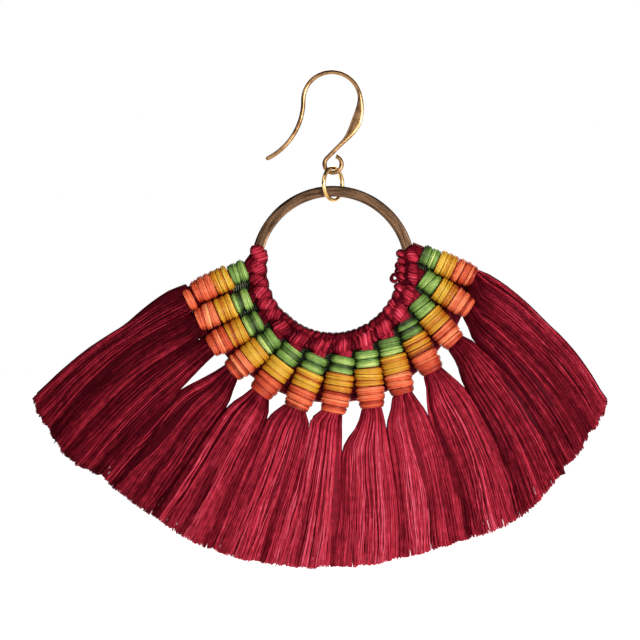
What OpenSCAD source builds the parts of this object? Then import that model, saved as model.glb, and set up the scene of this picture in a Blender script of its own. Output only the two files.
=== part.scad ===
// Tassel earring: an ear hook, a split ring and a flat hoop that carries thirteen silk tassels,
// wrapped in three rows of cord. It hangs in the XZ plane with its front towards -Y.
// The origin is the inside top of the hook's bend, where it rests in the ear.
// Lengths are millimetres. Angles run from +X towards +Z.

/* [Ear hook] */
// Diameter of the hook's round wire
hook_wire = 0.8; // [0.65:0.05:0.9]
// Radius of the bend that sits in the ear, to the wire's middle
bend_r = 5.2; // [4.6:0.1:6]
// Radius of the tail's outward curve, to the wire's middle
tail_r = 11.8; // [9:0.1:14]
// Angle that the tail's outward curve turns through
tail_turn = 65; // [45:1:70]
// Radius of the front curve that leads down to the eye, to the wire's middle
front_r = 10.6; // [9:0.1:12]
// Angle that the front curve turns through
front_turn = 45; // [40:1:50]
// Straight length between the front curve and the eye
neck_len = 4.2; // [3:0.1:6]
// Radius of the eye, to the wire's middle
eye_r = 1.55; // [1.5:0.05:1.8]
// Gap between the end of the eye's wire and the neck
eye_gap = 0.1; // [0.05:0.05:0.2]
// Width of the hammered front where it is widest
hammer_w = 1.9; // [1.2:0.1:2.4]
// Thickness of the hammered front
hammer_t = 0.55; // [0.4:0.05:0.6]

/* [Split ring] */
// Outside diameter of the split ring
ring_od = 6.6; // [6.4:0.1:7.2]
// Diameter of the split ring's wire
ring_wire = 0.75; // [0.6:0.05:0.8]
// Angle that the ring is turned about the vertical, from edge-on
ring_turn = 35; // [15:1:37]
// Gap at the split
ring_split = 0.1; // [0.05:0.05:0.2]
// Clearance between the ring and the hook's eye that it hangs in
eye_play = 0.12; // [0.08:0.01:0.16]
// Clearance between the hoop and the ring that it hangs in
hoop_play = 0.2; // [0.16:0.01:0.25]

/* [Hoop] */
// Outside diameter of the hoop
hoop_od = 30; // [29:0.5:34]
// Width of the hoop's flat band, outside to inside
hoop_band = 2; // [1.6:0.1:2.2]
// Thickness of the hoop's band, front to back
hoop_t = 0.9; // [0.7:0.05:1]
// Radius of the rounded corners of the band
hoop_corner = 0.3; // [0.25:0.05:0.35]

/* [Hitches] */
// Depth of the silk hitches inside the band
hitch_in = 0.95; // [0.7:0.05:1.2]
// Depth of the silk hitches outside the band
hitch_out = 0.5; // [0.4:0.05:0.6]
// Thickness of the silk hitches in front of the band and behind it
hitch_side = 0.6; // [0.45:0.05:0.8]
// Depth of the grooves between neighbouring loops of a hitch
hitch_groove = 0.15; // [0.05:0.05:0.25]
// Clearance between silk and what it is wrapped on or lies beside
silk_gap = 0.08; // [0.05:0.01:0.1]
// Angle where the first hitch starts on the hoop
first_hitch = 165.5; // [163:0.5:168]
// Angle where the last hitch ends on the hoop
last_hitch = 375; // [373:0.5:378]

/* [Wraps] */
// Diameter of the silk bundle inside the wraps
core_d = 2.4; // [2:0.1:2.6]
// Outside diameter of a green wrap
green_d = 3.9; // [3.7:0.05:4.1]
// Outside diameter of a yellow wrap
yellow_d = 4.6; // [4.2:0.05:4.65]
// Outside diameter of an orange wrap
orange_d = 4.6; // [4.2:0.05:4.7]
// Height of one green turn along its bundle
green_turn = 1.6; // [1.4:0.05:1.7]
// Height of one yellow turn along its bundle
yellow_turn = 1.65; // [1.5:0.05:1.8]
// Height of one orange turn along its bundle
orange_turn = 1.95; // [1.7:0.05:2.1]
// Turns of each colour on a bundle
turns = 2; // [2:1:2]
// Diameter of the cord where it runs on behind to the next bundle
run_d = 0.7; // [0.5:0.05:0.8]

/* [Fringe] */
// Length of the fringe below the orange wraps, at the middle of the fan
fringe_len = 28.5; // [22:0.5:36]
// Width of a lock where it leaves its wraps
head_w = 3.4; // [3:0.1:3.7]
// Depth of a lock where it leaves its wraps
head_t = 3.2; // [2.8:0.1:3.8]
// Depth of a lock at its fullest, front to back
lock_t = 3.8; // [2.8:0.1:4.6]
// Depth of a lock at its cut end
tip_t = 2.6; // [1.6:0.1:3.6]
// Depth of the folds between the strands of a lock
fold_t = 0.26; // [0.1:0.02:0.3]
// How far the middle of a lock's cut end reaches past its corners
tip_bulge = 0.5; // [0:0.1:1]

/* [Hidden] */
$fn = 72;
COUNT = 13;

function tassel_name(i) = str("tassel_", i < 9 ? "0" : "", i + 1);

// The bundles, left to right: the angle on the fan where the first wrap sits, the angle in which
// the wrapped stretch runs out from there, and how full the lock is next to the others
ROOT = 0;
RUN = 1;
BODY = 2;
BUNDLES = [
    [179.6, 205, 0.93],
    [197, 203.5, 0.93],
    [213, 208.5, 0.95],
    [228.5, 219, 0.97],
    [243, 233, 1],
    [259, 247, 1],
    [275.5, 259, 1],
    [290.5, 276, 1],
    [306, 285, 1],
    [321.5, 299, 1.02],
    [336.5, 313, 1.06],
    [351, 327, 1.08],
    [366.2, 335.5, 1.08]
];

// The lines between the locks, left to right. Two locks meet at the fork, whose distance below
// the wraps is a share of the fringe's length, and then stay side by side to the tip
FORK = 0;
FORK_ANGLE = 1;
TIP = 2;
TIP_ANGLE = 3;
PARTINGS = [
    [0.46, 194.9, 1.155, 203.4],
    [0.08, 195.2, 1.16, 209.5],
    [0.08, 207.2, 1.15, 215.5],
    [0.29, 218.2, 1.04, 221.7],
    [0.18, 232.4, 1.01, 234],
    [0.12, 246.4, 1.01, 246.2],
    [0.06, 261.5, 0.985, 258.4],
    [0.245, 272.7, 0.96, 270.5],
    [0.12, 288.5, 0.955, 282.7],
    [0.19, 303.2, 0.975, 294.9],
    [0.245, 317.8, 1.045, 307],
    [0.09, 332.9, 1.02, 319],
    [0.14, 342.6, 1.02, 327],
    [0.46, 346.8, 1.005, 333.8]
];

// Sections of a lock: how far down it lies, and how full it is there between its head,
// its fullest place and its tip
DOWN = 0;
FULL = 1;
THIN = 2;
SECTIONS = [
    [0, 0, 0],
    [0.06, 0.3, 0],
    [0.14, 0.7, 0],
    [0.26, 1, 0],
    [0.42, 1, 0.2],
    [0.6, 1, 0.5],
    [0.8, 1, 0.8],
    [1, 1, 1]
];
SIDES = 24;

function polar(r, a) = [r * cos(a), r * sin(a)];
function angle_of(p) = let (a = atan2(p[1], p[0])) a < 90 ? a + 360 : a;
function mix(a, b, t) = a + (b - a) * t;
function left_of(u) = [-u[1], u[0]];
function flat_at(p, y) = [p[0], y, p[1]];

// The hook's wire, from the bend round to the eye
bend_mid = [0, hook_wire / 2 - bend_r];
tail_mid = bend_mid - [bend_r + tail_r, 0];
front_mid = bend_mid + [bend_r - front_r, 0];
front_end = front_mid + polar(front_r, -front_turn);
neck_dir = polar(1, 270 - front_turn);
neck_end = front_end + neck_len * neck_dir;
eye_mid = neck_end + eye_r * left_of(neck_dir);
eye_start = 180 - front_turn;
eye_turn = 360 - acos(1 - (hook_wire + eye_gap) / eye_r);
HAMMER_STEPS = 16;
// Shares of the wire's diameter and of the front curve that the hammered front starts with and covers
HAMMER_FROM = 0.5;
HAMMER_TO = 0.9;
// The wire is a touch fuller where two curves meet, and its tail ends in a smooth round tip
join_d = hook_wire * 1.06;
tip_d = hook_wire * 1.12;

// The ring hangs on the eye, and the hoop hangs on the ring
ring_in_r = ring_od / 2 - ring_wire;
ring_mid_z = eye_mid[1] - eye_r + hook_wire / 2 + eye_play - ring_in_r;
ring_mid_r = (ring_od - ring_wire) / 2;
SPLIT_ANGLE = 58;
hoop_out_r = hoop_od / 2;
hoop_in_r = hoop_out_r - hoop_band;
hoop_mid = [eye_mid[0], ring_mid_z - ring_in_r + hoop_play - hoop_in_r];

// The rows of wraps follow each other outwards along each bundle
core_bore_r = core_d / 2 + silk_gap;
// Room between the hitches and the corners of a wrap whose bundle runs out aslant
slant_room = 0.55;
root_r = hoop_out_r + hitch_out + slant_room + green_turn * turns / 2;
green_at = 0;
yellow_at = (green_turn + yellow_turn) * turns / 2 + silk_gap;
orange_at = yellow_at + (yellow_turn + orange_turn) * turns / 2 + silk_gap;
head_at = orange_at + orange_turn * turns / 2 + 2 * silk_gap;
head_r = root_r + head_at;
// Radius on the hoop where a bundle leaves its hitch
leave_r = hoop_out_r + hitch_out / 2;
// Angle on the hoop that one loop of a hitch takes up, and the share of it that is not groove
LOOP_ANGLE = 4;
LOOP_SHARE = 0.7;
// Turns of a wrap are fuller than half their height by this much, so that neighbours merge
turn_merge = 0.03;
// The cord that runs on behind starts inside its wrap: shares of its own diameter, along and across
RUN_SUNK = 0.7;
RUN_INSET = 0.36;

function root(i) = polar(root_r, BUNDLES[i][ROOT]);
function run(i) = polar(1, BUNDLES[i][RUN]);
function along(i, s) = root(i) + s * run(i);
// How far back from the root a bundle's line crosses the radius r
function back_to(i, r) =
    let (b = root(i) * run(i), c = root_r * root_r - r * r)
    -b + sqrt(b * b - c);
function leave_angle(i) = angle_of(along(i, back_to(i, leave_r)));
function hitch_edge(i) =
    i == 0 ? first_hitch
    : i == COUNT ? last_hitch
    : (leave_angle(i - 1) + leave_angle(i)) / 2;

// A ring of the given profile, or part of it, round an axis along Y
module upright(sweep = 360, from = 0) {
    rotate([90, 0, 0]) rotate_extrude(angle = sweep, start = from) children();
}

module wire_arc(mid, r, sweep, from, d) {
    translate(flat_at(mid, 0)) upright(sweep, from) translate([r, 0]) circle(d = d);
}

// A round bar from p towards the angle a in the XZ plane, at depth y
module bar(p, a, len, d, y = 0) {
    translate(flat_at(p, y)) rotate([0, 90 - a, 0]) cylinder(d = d, h = len);
}

// A rectangle with rounded corners, centred
module soft_rect(w, h, r) {
    square([w - 2 * r, h], center = true);
    square([w, h - 2 * r], center = true);
    for (x = [-1, 1], y = [-1, 1])
        translate([x * (w / 2 - r), y * (h / 2 - r)]) circle(r = r);
}

// The hammered front widens and narrows again along the front curve
function hammer_side(side) = [
    for (k = [0:HAMMER_STEPS])
        let (t = k / HAMMER_STEPS, w = mix(hook_wire * HAMMER_FROM, hammer_w, sin(180 * t)))
        polar(front_r + side * w / 2, -front_turn * HAMMER_TO * t)
];

module hammered_front() {
    inner = hammer_side(-1);
    translate(flat_at(front_mid, hammer_t / 2)) rotate([90, 0, 0])
        linear_extrude(hammer_t)
            polygon(concat(hammer_side(1), [for (k = [0:HAMMER_STEPS]) inner[HAMMER_STEPS - k]]));
}

module ear_hook() {
    color("peru") union() {
        wire_arc(tail_mid, tail_r, tail_turn, -tail_turn, hook_wire);
        wire_arc(bend_mid, bend_r, 180, 0, hook_wire);
        wire_arc(front_mid, front_r, front_turn, -front_turn, hook_wire);
        bar(front_end, 270 - front_turn, neck_len, hook_wire);
        wire_arc(eye_mid, eye_r, eye_turn, eye_start, hook_wire);
        hammered_front();
        for (p = [tail_mid + [tail_r, 0], bend_mid + [bend_r, 0], front_end, neck_end])
            translate(flat_at(p, 0)) sphere(d = join_d);
        translate(flat_at(tail_mid + polar(tail_r, -tail_turn), 0)) sphere(d = tip_d);
    }
}

module jump_ring() {
    split = ring_split / ring_mid_r * 180 / PI;
    color("burlywood")
        translate([eye_mid[0], 0, ring_mid_z]) rotate([0, 0, 90 - ring_turn])
            upright(360 - split, SPLIT_ANGLE + split / 2)
                translate([ring_mid_r, 0]) circle(d = ring_wire);
}

module hoop() {
    color("sienna")
        translate(flat_at(hoop_mid, 0)) upright()
            translate([hoop_in_r + hoop_band / 2, 0]) soft_rect(hoop_band, hoop_t, hoop_corner);
}

// Cross-section of the silk round the band, with a share of the groove's depth taken off
module hitch_profile(less) {
    depth = hoop_band + hitch_in + hitch_out - 2 * less;
    translate([hoop_in_r + (hoop_band + hitch_out - hitch_in) / 2, 0])
        soft_rect(depth, hoop_t + 2 * hitch_side - 2 * less, hitch_side);
}

// The loops of one bundle lie side by side round the band
module hitch(i) {
    gap = silk_gap / hoop_out_r * 180 / PI;
    from = hitch_edge(i) + gap / 2;
    sweep = hitch_edge(i + 1) - hitch_edge(i) - gap;
    loops = round(sweep / LOOP_ANGLE);
    step = sweep / loops;
    upright(sweep, from) hitch_profile(hitch_groove);
    for (k = [0:loops - 1])
        upright(step * LOOP_SHARE, from + step * (k + (1 - LOOP_SHARE) / 2)) hitch_profile(0);
}

module band_room() {
    upright() translate([hoop_in_r + hoop_band / 2, 0])
        square([hoop_band + 2 * silk_gap, hoop_t + 2 * silk_gap], center = true);
}

// Half the outline of a wrapped stretch: turn beside turn, down to the room for the bundle
module wrap_profile(d, turn) {
    r = turn / 2 + turn_merge;
    difference() {
        union() {
            for (k = [0:turns - 1])
                translate([d / 2 - r, (k - (turns - 1) / 2) * turn]) circle(r = r);
            translate([0, -turn * turns / 2]) square([d / 2 - r, turn * turns]);
        }
        translate([0, -turn * turns]) square([core_bore_r, 2 * turn * turns]);
    }
}

// A row of wraps of one colour, with the cord that runs on behind from bundle to bundle
module wrap_row(at, d, turn) {
    sunk = run_d * RUN_SUNK;
    translate(flat_at(hoop_mid, 0)) union() {
        for (i = [0:COUNT - 1])
            translate(flat_at(along(i, at), 0)) rotate([0, 90 - BUNDLES[i][RUN], 0])
                rotate_extrude() wrap_profile(d, turn);
        for (i = [0:COUNT - 2])
            let (gap = along(i + 1, at) - along(i, at), dir = gap / norm(gap))
                bar(along(i, at) + sunk * dir, atan2(gap[1], gap[0]), norm(gap) - 2 * sunk,
                    run_d, d / 2 - run_d * RUN_INSET);
    }
}

module wrap_row_green() {
    color("olivedrab") wrap_row(green_at, green_d, green_turn);
}

module wrap_row_yellow() {
    color("goldenrod") wrap_row(yellow_at, yellow_d, yellow_turn);
}

module wrap_row_orange() {
    color("tomato") wrap_row(orange_at, orange_d, orange_turn);
}

// A point on a lock's edge, a share t of the way from its head corner to its tip. The angle goes
// evenly from the corner to the fork, and evenly from the fork to the tip
function edge_point(corner, p, t) =
    let (
        r0 = norm(corner),
        a0 = angle_of(corner),
        fork_r = head_r + PARTINGS[p][FORK] * fringe_len,
        tip_r = head_r + PARTINGS[p][TIP] * fringe_len,
        r = mix(r0, tip_r, t),
        a = r < fork_r
            ? mix(a0, PARTINGS[p][FORK_ANGLE], (r - r0) / (fork_r - r0))
            : mix(PARTINGS[p][FORK_ANGLE], PARTINGS[p][TIP_ANGLE], (r - fork_r) / (tip_r - fork_r))
    )
    polar(r, a);

// One section of a lock: a rounded strip between its two edges, folded where strands part
function lock_section(i, s) =
    let (
        head = along(i, head_at),
        side = left_of(run(i)) * head_w / 2,
        first = edge_point(head - side, i, s[DOWN]),
        last = edge_point(head + side, i + 1, s[DOWN]),
        mid = (first + last) / 2,
        half = (last - first) / 2 - silk_gap / 2 * (last - first) / norm(last - first),
        depth = mix(head_t, mix(lock_t, tip_t, s[THIN]) * BUNDLES[i][BODY], s[FULL]) / 2,
        out = mid / norm(mid)
    )
    [
        for (k = [0:SIDES - 1])
            let (
                a = 360 * k / SIDES,
                x = cos(a),
                fold = k % 2 == 0 ? 0 : fold_t * s[FULL],
                p = mid + x * half + out * tip_bulge * s[THIN] * (1 - x * x)
            )
            flat_at(p, (depth - fold) * sin(a))
    ];

// The lock's skin: sections joined by triangles, closed by a fan at each end
module lock(i) {
    rows = [for (s = SECTIONS) lock_section(i, s)];
    n = len(rows);
    points = concat(
        [for (row = rows, p = row) p],
        [centre_of(rows[0]), centre_of(rows[n - 1])]
    );
    faces = concat(
        [for (j = [0:n - 2], k = [0:SIDES - 1]) [corner(j, k), corner(j, k + 1), corner(j + 1, k)]],
        [for (j = [0:n - 2], k = [0:SIDES - 1]) [corner(j, k + 1), corner(j + 1, k + 1), corner(j + 1, k)]],
        [for (k = [0:SIDES - 1]) [n * SIDES, corner(0, k + 1), corner(0, k)]],
        [for (k = [0:SIDES - 1]) [n * SIDES + 1, corner(n - 1, k), corner(n - 1, k + 1)]]
    );
    polyhedron(points = points, faces = faces);
}

function corner(j, k) = j * SIDES + k % SIDES;
function centre_of(row) = [for (c = [0:2]) [for (p = row) p[c]] * [for (p = row) 1] / len(row)];

// A bundle of silk: hitched on the hoop, led through its wraps and fanned out below them
module tassel(i) {
    start = back_to(i, hoop_out_r - hoop_band / 2);
    translate(flat_at(hoop_mid, 0)) color(i % 2 == 0 ? "crimson" : "brown") union() {
        difference() {
            union() {
                hitch(i);
                bar(along(i, start), BUNDLES[i][RUN], head_at - start + head_t / 2, core_d);
            }
            band_room();
        }
        lock(i);
    }
}

ear_hook();
jump_ring();
hoop();
wrap_row_green();
wrap_row_yellow();
wrap_row_orange();
for (i = [0:COUNT - 1]) tassel(i);
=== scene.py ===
"""Looks of the tassel earring: an ear hook, a split ring and a flat bronze hoop with thirteen silk
tassels. Each tassel is hitched on the hoop, wrapped in green, yellow and orange thread and fanned out.
Shapes are worked out in millimetres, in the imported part's frame: +X right, +Y back, +Z up."""
from collections import namedtuple

import bpy
import numpy as np
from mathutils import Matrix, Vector


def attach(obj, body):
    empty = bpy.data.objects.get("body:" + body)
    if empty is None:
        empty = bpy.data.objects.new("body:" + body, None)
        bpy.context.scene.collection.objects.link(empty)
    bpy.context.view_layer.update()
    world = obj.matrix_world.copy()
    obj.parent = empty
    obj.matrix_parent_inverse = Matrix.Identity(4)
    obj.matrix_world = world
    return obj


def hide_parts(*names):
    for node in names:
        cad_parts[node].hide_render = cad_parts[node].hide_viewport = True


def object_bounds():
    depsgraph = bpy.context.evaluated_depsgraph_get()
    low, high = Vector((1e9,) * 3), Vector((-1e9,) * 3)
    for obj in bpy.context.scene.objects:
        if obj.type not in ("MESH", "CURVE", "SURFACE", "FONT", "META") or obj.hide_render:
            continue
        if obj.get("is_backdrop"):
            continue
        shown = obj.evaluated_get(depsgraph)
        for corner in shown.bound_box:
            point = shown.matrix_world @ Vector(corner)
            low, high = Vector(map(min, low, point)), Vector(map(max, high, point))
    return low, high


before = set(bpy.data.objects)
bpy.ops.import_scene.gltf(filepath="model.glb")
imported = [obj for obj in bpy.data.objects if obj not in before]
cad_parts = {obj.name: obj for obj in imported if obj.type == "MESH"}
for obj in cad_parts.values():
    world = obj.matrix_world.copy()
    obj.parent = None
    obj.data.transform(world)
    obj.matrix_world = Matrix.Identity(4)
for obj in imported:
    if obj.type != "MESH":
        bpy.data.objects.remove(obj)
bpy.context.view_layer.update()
chance = np.random.default_rng(20)
MM = 0.001
TURN = 2 * np.pi
BACK = np.array([0.0, 1.0, 0.0])

# Sizes shared with the part, in millimetres and degrees
HOOK_WIRE = 0.8
BEND_R = 5.2
TAIL_R = 11.8
TAIL_TURN = 65
FRONT_R = 10.6
FRONT_TURN = 45
NECK_LEN = 4.2
EYE_R = 1.55
EYE_GAP = 0.1
HAMMER_W = 1.9
HAMMER_T = 0.55
HAMMER_TO = 0.9
RING_OD = 6.6
RING_WIRE = 0.75
RING_TURN = 35
RING_SPLIT = 0.1
SPLIT_ANGLE = 58
EYE_PLAY = 0.12
HOOP_PLAY = 0.2
HOOP_OD = 30
HOOP_BAND = 2
HOOP_T = 0.9
HITCH_IN = 0.95
HITCH_OUT = 0.5
HITCH_SIDE = 0.6
SILK_GAP = 0.08
FIRST_HITCH = 165.5
LAST_HITCH = 375
LOOP_ANGLE = 4
SLANT_ROOM = 0.55
CORE_D = 2.4
TURNS = 2
GREEN_D, YELLOW_D, ORANGE_D = 3.9, 4.6, 4.6
GREEN_TURN, YELLOW_TURN, ORANGE_TURN = 1.6, 1.65, 1.95
RUN_D = 0.7
FRINGE_LEN = 28.5
HEAD_W = 3.4
HEAD_T = 3.2
LOCK_T = 3.8
TIP_T = 2.6
TIP_BULGE = 0.5

# How far the hook's hammering fades out past the flat, in millimetres, how much squarer it makes the
# wire's section, and how square the hoop's section is, where 2 is an oval
BEAT_OVER = 1.6
BEAT_SQUARE = 1.6
HOOP_SQUARE = 6

# Radii of the threads, in millimetres
WRAP_THREAD = 0.13
RUN_THREAD = 0.15
HITCH_THREAD = 0.21
KNOT_THREAD = 0.17
EYELET_THREAD = 0.22
CORE_THREAD = 0.18
FRINGE_THREAD = 0.122

# Wound thread, in millimetres: how deep the grooves between two ridges, the share of that at the
# wrap's ends, how deep the creases, how far its radius and its place waver, with the waves in a
# winding, and how far a winding leans, with its spread from wrap to wrap and from fold to fold
GROOVE_DEEP, END_SHARE, CREASE_DEEP = 1.04, 0.88, 0.07
RADIUS_WAVER, PLACE_WAVER = 0.04, 0.03
RADIUS_WAVES, PLACE_WAVES = 0.31, 0.43
LEAN, WRAP_LEAN, FOLD_LEAN = 0.12, 0.1, 0.04
WINDING_POINTS, WRAP_SIDES = 20, 5
# Its tones: how they differ from fold to fold and from winding to winding, and how much painted
# shade darkens grooves, creases, sides and the filling under the thread
FOLD_TONE, WINDING_TONE = 0.16, 0.09
GROOVE_SHADE, CREASE_SHADE, WRAP_SIDE_SHADE, FILLING_SHADE = 0.38, 0.12, 0.3, 0.35
# Cords in the creases between wraps: how many, their radius by the wrap's length, how deep they lie
# behind the middle at their ends, how much deeper halfway, and the tones of green and silk ones,
# dark with painted shade
CREASE_CORDS, CORD_SHARE, CORD_BACK, CORD_BOW = 9, 0.09, 0.7, 0.45
GREEN_CORD_SHADE, SILK_CORD_SHADE = -0.3, 0.05
# The thread that runs on: its strands, and how far they turn round each other on the way, in radians
RUN_STRANDS, RUN_TWIST = 5, 3
# One ridge more on the first orange wrap: its place and length by a turn's length, its thickness by
# the wrap's, its tone, and how far it has slipped sideways
EXTRA_AT, EXTRA_LEN, EXTRA_THICK, EXTRA_LIGHT, EXTRA_SHIFT = 1.55, 0.8, 0.94, 0.6, 0.7

# The strip of hitches: the degrees left free at both ends of a bundle's share, the strands of a
# rope, the radius that they wind on and how dark they are, and the pitch of the loops in a knot
HITCH_ROOM = 0.2
ROPE_STRANDS, ROPE_R, ROPE_DARK = 5, 0.2, 0.3
LOOP_PITCH = 0.24
# A kind of knot: radius of its middle on the hoop, how high it is across the band, how deep through
# it, the slant of its loops, how much their tones differ and how far they lie under the brightest
Kind = namedtuple("Kind", "r high deep slant uneven dim")
LEFT_KNOT = Kind(13.7, 2.7, 2.9, 0.3, 0.16, 0.22)
OUTER_KNOT = Kind(14.3, 3.0, 3.1, 0.45, 0.17, 0.25)
RIGHT_KNOT = Kind(14.55, 2.15, 3.1, 0.45, 0.17, 0.13)
INNER_KNOT = Kind(12.55, 1.5, 2.2, 0.7, 0.1, 0)
KNOT_BRIGHT = 0.62
# Bundles before LEFT_END have slanted knots, with this length and slope. The others have two rows,
# and from RIGHT_START on slimmer and brighter ones. An inner row: the places of its knots in the
# bundle's share, how much of the share one fills, and its tone.
LEFT_END, RIGHT_START = 3, 9
LEFT_LONG, LEFT_SLOPE = 4.0, 40
OUTER_ROW_R, INNER_ROW_R = 14.5, 12.4
Inner = namedtuple("Inner", "places fill light")
LOWER_INNER = Inner((0.2, 0.55, 0.9), 0.48, 0.14)
RIGHT_INNER = Inner((0.26, 0.76), 0.54, 0.42)
# Eyelets at the strip's inner edge: their threads, the pitch of these and how deep they are rooted,
# then for each one its angle on the hoop, half width, tilt, and how far it stands off by its width
EYELET_THREADS, EYELET_PITCH, EYELET_ROOT = 5, 0.16, 0.45
EYELETS = [
    (-9.2, 0.62, 0.5, 2.0),
    (-3.0, 0.42, -0.5, 1.4),
    (2.5, 0.5, 0.5, 0.9),
    (-16, 0.4, 0.2, 0.8),
]

# A lock of the fringe has a middle row of tufts and an outer row in front and behind: the tufts in
# a row, how far out its last ones stand and the threads in a tuft, then how far off the outer rows
# lie. Places and waves are in half widths and half depths of the lock.
MIDDLE_TUFTS, MIDDLE_REACH, MIDDLE_THREADS = 10, 0.93, 9
OUTER_TUFTS, OUTER_REACH, OUTER_THREADS = 9, 0.86, 18
ROW_APART = 0.62
# The sway of a tuft, the sway of a thread and its crimp. Some threads stray more.
TUFT_SWAY, THREAD_SWAY, CRIMP = 0.036, 0.026, 0.015
STRAY_CHANCE, STRAY_SWAY = 0.06, 3
# How uneven its cut is from tuft to tuft, the most of that, and from thread to thread, the longest
# thread, how far threads stand out below the fork, and how deep they are tucked under the wraps, in
# millimetres
TUFT_CUT, MOST_CUT, THREAD_CUT, LONGEST = 0.007, 0.01, 0.004, 1.04
STAND_OUT = 0.07
TUCK = 0.9
# Its tones: how much lighter it is than its bundle's painted light, the contrast at no painted
# light, how tufts and threads differ, the step of an odd thread, how they drift on their way in
# random tone and painted highlights of crimped silk, and how much painted shade darkens the sides,
# the head, sunken tufts and the core
LIFT, CONTRAST = 0.025, 1.25
TUFT_TONE, THREAD_TONE, ODD_TONE = 0.075, 0.09, 0.15
SLOW_DRIFT, FAST_DRIFT = 0.07, 0.05
SIDE_SHADE, HEAD_SHADE, SUNK_SHADE, CORE_SHADE = 0.16, 0.22, 0.4, 0.4

# Each bundle: angle of its first wrap on the fan, angle that it runs out in, how full its lock is
# next to the others, its painted light and shade (lighter in the middle of the fan, darker at the
# sides, as light falls on the silk), how far its wraps have spread, and how far they have slipped
# sideways
BUNDLES = np.array([
    [179.6, 205, 0.93, 0.20, 1.08, 1.0],
    [197, 203.5, 0.93, 0.12, 1.08, 0.9],
    [213, 208.5, 0.95, 0.16, 1.1, 0.5],
    [228.5, 219, 0.97, 0.25, 1.14, 0.1],
    [243, 233, 1, 0.40, 1.18, 0],
    [259, 247, 1, 0.53, 1.2, 0],
    [275.5, 259, 1, 0.60, 1.2, 0],
    [290.5, 276, 1, 0.60, 1.18, 0],
    [306, 285, 1, 0.57, 1.14, 0],
    [321.5, 299, 1.02, 0.49, 1.14, 0],
    [336.5, 313, 1.06, 0.38, 1.12, 0],
    [351, 327, 1.08, 0.27, 1.05, 0.2],
    [366.2, 335.5, 1.08, 0.32, 1.04, 0.1],
])
ROOT, RUN, BODY, PAINTED_LIGHT, SPREAD, SLIP = BUNDLES.T
COUNT = len(BUNDLES)

# Each line between two locks: the fork's distance below the wraps and its angle, then the tip's,
# and how far down the cords between the two orange wraps reach
PARTINGS = np.array([
    [0.46, 194.9, 1.135, 203.4, 0],
    [0.02, 195.2, 1.135, 209.5, 0.6],
    [0.03, 207.2, 1.13, 215.5, 0.7],
    [0.335, 218.2, 1.04, 221.7, 0.1],
    [0.18, 232.4, 1.01, 234, -0.05],
    [0.095, 246.4, 1.01, 246.2, -0.05],
    [0.03, 261.5, 0.985, 258.4, -0.05],
    [0.27, 272.7, 0.96, 270.5, -0.05],
    [0.15, 288.5, 0.955, 282.7, -0.05],
    [0.19, 303.2, 0.975, 294.9, -0.05],
    [0.245, 317.8, 1.045, 307, -0.05],
    [0.085, 332.9, 1.005, 319, 0.15],
    [0.03, 343.6, 1.0, 327, 0.6],
    [0.46, 346.8, 1.005, 333.8, 0],
])
CORDS_TO = PARTINGS[1:-1, 4]
# A lock's edge turns this far before its fork, over half a wide or a narrow stretch, in millimetres.
# The narrow one is for forks right under the wraps.
TURN_BEFORE = 1.2
WIDE_TURN, NARROW_TURN, SHORT_FORK = 1.5, 0.4, 0.04

# Along a lock: how far down, how full between head and fullest place, how near the tip's depth
DOWN, FULL, THIN = np.array([
    [0, 0, 0],
    [0.06, 0.3, 0],
    [0.14, 0.7, 0],
    [0.26, 1, 0],
    [0.42, 1, 0.2],
    [0.6, 1, 0.5],
    [0.8, 1, 0.8],
    [1, 1, 1],
]).T


def polar(r, degrees):
    """Points of the XZ plane at radius r and an angle from +X towards +Z."""
    a = np.radians(degrees)
    return np.stack([r * np.cos(a), np.zeros_like(r * a), r * np.sin(a)], axis=-1)


def unit(v):
    """Vectors shortened or stretched to length one."""
    return v / np.linalg.norm(v, axis=-1, keepdims=True)


def mix(a, b, t):
    """The value at the share t of the way from a to b."""
    return a + (b - a) * t


def ease(t):
    """Goes from 0 to 1 with level ends: 3t^2 - 2t^3, with t held between 0 and 1."""
    t = np.clip(t, 0, 1)
    return t * t * (3 - 2 * t)


def whole_turn(count):
    """Angles of one whole turn in even steps, in radians."""
    return TURN * np.arange(count) / count


def signed_power(wave, power):
    """A sine or cosine to a power, with its sign kept. A power below 1 squares a circle up."""
    return np.sign(wave) * np.abs(wave) ** power


# Places worked out from the sizes, as the part works them out
bend_mid = np.array([0, 0, HOOK_WIRE / 2 - BEND_R])
tail_mid = bend_mid - [BEND_R + TAIL_R, 0, 0]
front_mid = bend_mid + [BEND_R - FRONT_R, 0, 0]
front_end = front_mid + polar(FRONT_R, -FRONT_TURN)
neck_dir = polar(1, 270 - FRONT_TURN)
neck_end = front_end + NECK_LEN * neck_dir
eye_mid = neck_end + EYE_R * np.cross(neck_dir, BACK)
eye_turn = 360 - np.degrees(np.arccos(1 - (HOOK_WIRE + EYE_GAP) / EYE_R))
ring_mid_r = (RING_OD - RING_WIRE) / 2
ring_mid = eye_mid + [0, 0, EYE_PLAY - EYE_R + HOOK_WIRE / 2 - (RING_OD / 2 - RING_WIRE)]
hoop_out_r = HOOP_OD / 2
hoop_in_r = hoop_out_r - HOOP_BAND
hoop_mid = ring_mid - [0, 0, RING_OD / 2 - RING_WIRE - HOOP_PLAY + hoop_in_r]
root_r = hoop_out_r + HITCH_OUT + SLANT_ROOM + GREEN_TURN * TURNS / 2
yellow_at = (GREEN_TURN + YELLOW_TURN) * TURNS / 2 + SILK_GAP
orange_at = yellow_at + (YELLOW_TURN + ORANGE_TURN) * TURNS / 2 + SILK_GAP
head_at = orange_at + ORANGE_TURN * TURNS / 2 + 2 * SILK_GAP
head_r = root_r + head_at
leave_r = hoop_out_r + HITCH_OUT / 2
run_dir = polar(1, RUN)
run_side = np.cross(run_dir, BACK)


def along(i, s):
    """The point of bundle i that lies s beyond its first wrap, from the hoop's middle."""
    return polar(root_r, ROOT[i]) + np.multiply.outer(s, run_dir[i])


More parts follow.
